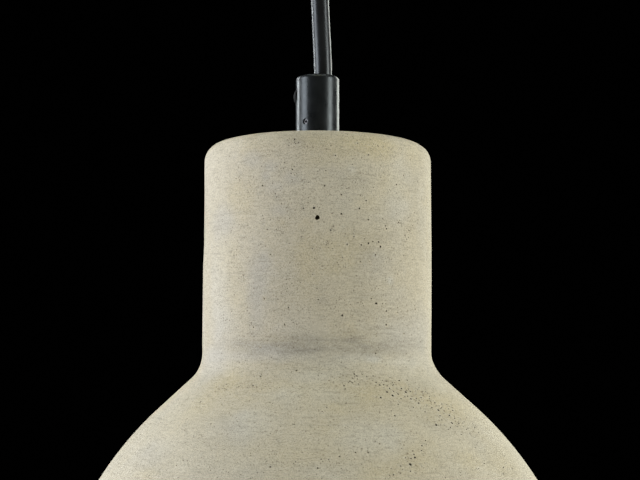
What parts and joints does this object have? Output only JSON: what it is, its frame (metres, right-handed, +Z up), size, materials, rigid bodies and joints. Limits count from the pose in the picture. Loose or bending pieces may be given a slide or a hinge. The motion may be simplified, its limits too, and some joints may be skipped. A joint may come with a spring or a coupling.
{
  "type": "pendant ceiling light",
  "caption": "Bell-shaped cast concrete pendant shade with lampholder, hung by a round cord and cord grips from a ceiling canopy cup.",
  "frame": {"origin": "centre of the ceiling bracket's top face, which lies on the ceiling", "axes": "+Z up into the ceiling, the light hangs along -Z; -Y is the front, +X to the right seen from the front"},
  "size_m": [0.1844, 0.1844, 0.3352],
  "materials": {
    "concrete": "fair-faced cast concrete, matt, fine pinholes",
    "black_plastic": "satin moulded nylon",
    "cord_sheath": "smooth black PVC sheath",
    "black_enamel": "satin black powder coat on steel",
    "zinc_steel": "zinc plated",
    "spring_steel": "spring wire",
    "brass": "plain turned brass",
    "nickel": "nickel plated brass",
    "holder_plastic": "black thermoset, slight sheen",
    "porcelain": "glazed porcelain",
    "white_plastic": "moulded polyamide",
    "washer_rubber": "soft rubber sheet",
    "brown_insulation": "brown PVC core",
    "blue_insulation": "light blue PVC core",
    "green_yellow_insulation": "green and yellow PVC core"
  },
  "bodies": {
    "ceiling": {"ceiling_bracket": "zinc_steel", "terminal_block": "white_plastic", "terminal_tubes": "brass", "terminal_screws": "zinc_steel", "terminal_fixing_screw": "zinc_steel", "earth_screw": "zinc_steel", "live_lead": "brown_insulation", "neutral_lead": "blue_insulation", "earth_lead": "green_yellow_insulation"},
    "side_screw_right": {"side_screw_right": "zinc_steel"},
    "side_screw_left": {"side_screw_left": "zinc_steel"},
    "canopy": {"canopy_cup": "black_enamel", "canopy_cord_grip": "black_plastic", "canopy_lock_screw": "zinc_steel", "canopy_threaded_tube": "zinc_steel", "canopy_earth_tag": "brass", "canopy_nut": "zinc_steel", "canopy_cord_end": "cord_sheath"},
    "canopy_clamp_screw": {"canopy_clamp_screw": "black_plastic"},
    "cord_top": {"cord_upper": "cord_sheath"},
    "cord_mid": {"cord_middle": "cord_sheath"},
    "shade": {"cord_lower": "cord_sheath", "shade": "concrete", "shade_cord_grip": "black_plastic", "shade_lock_screw": "zinc_steel", "shade_threaded_tube": "zinc_steel", "shade_soft_washer": "washer_rubber", "shade_steel_washer": "zinc_steel", "shade_nut": "zinc_steel", "holder_cap": "holder_plastic", "holder_cap_lock_screw": "zinc_steel", "holder_skirt": "holder_plastic", "screw_shell": "nickel", "contact_block": "porcelain", "shell_screws": "zinc_steel", "holder_terminals": "brass", "holder_terminal_screws": "zinc_steel", "contact_spring": "spring_steel", "holder_live_wire": "brown_insulation", "holder_neutral_wire": "blue_insulation"},
    "shade_clamp_screw": {"shade_clamp_screw": "black_plastic"},
    "centre_contact": {"centre_contact": "brass"}
  },
  "joints": [
    {"name": "side_screw_right_out", "type": "slide", "parent": "ceiling", "child": "side_screw_right", "axis": [1, 0, 0], "range_m": [0, 0.003]},
    {"name": "side_screw_left_out", "type": "slide", "parent": "ceiling", "child": "side_screw_left", "axis": [-1, 0, 0], "range_m": [0, 0.003]},
    {"name": "canopy_drop", "type": "slide", "parent": "ceiling", "child": "canopy", "axis": [0, 0, -1], "range_m": [0, 0.035], "deforming": ["live_lead", "neutral_lead", "earth_lead"]},
    {"name": "canopy_clamp_out", "type": "slide", "parent": "canopy", "child": "canopy_clamp_screw", "axis": [1, 0, 0], "range_m": [0, 0.003]},
    {"name": "swing_side", "type": "hinge", "parent": "canopy", "child": "cord_top", "pos_m": [0, 0, -0.061], "axis": [0, 1, 0], "range_deg": [-30, 30]},
    {"name": "swing_front", "type": "hinge", "parent": "cord_top", "child": "cord_mid", "pos_m": [0, 0, -0.083], "axis": [1, 0, 0], "range_deg": [-30, 30]},
    {"name": "shade_turn", "type": "hinge", "parent": "cord_mid", "child": "shade", "pos_m": [0, 0, -0.109], "axis": [0, 0, 1], "range_deg": [-45, 45], "stiffness_Nm_per_rad": 0.02},
    {"name": "shade_clamp_out", "type": "slide", "parent": "shade", "child": "shade_clamp_screw", "axis": [-1, 0, 0], "range_m": [0, 0.003]},
    {"name": "contact_press", "type": "slide", "parent": "shade", "child": "centre_contact", "axis": [0, 0, 1], "range_m": [0, 0.0018], "stiffness_N_per_m": 600, "springref_m": -0.003, "deforming": ["contact_spring"]}
  ]
}
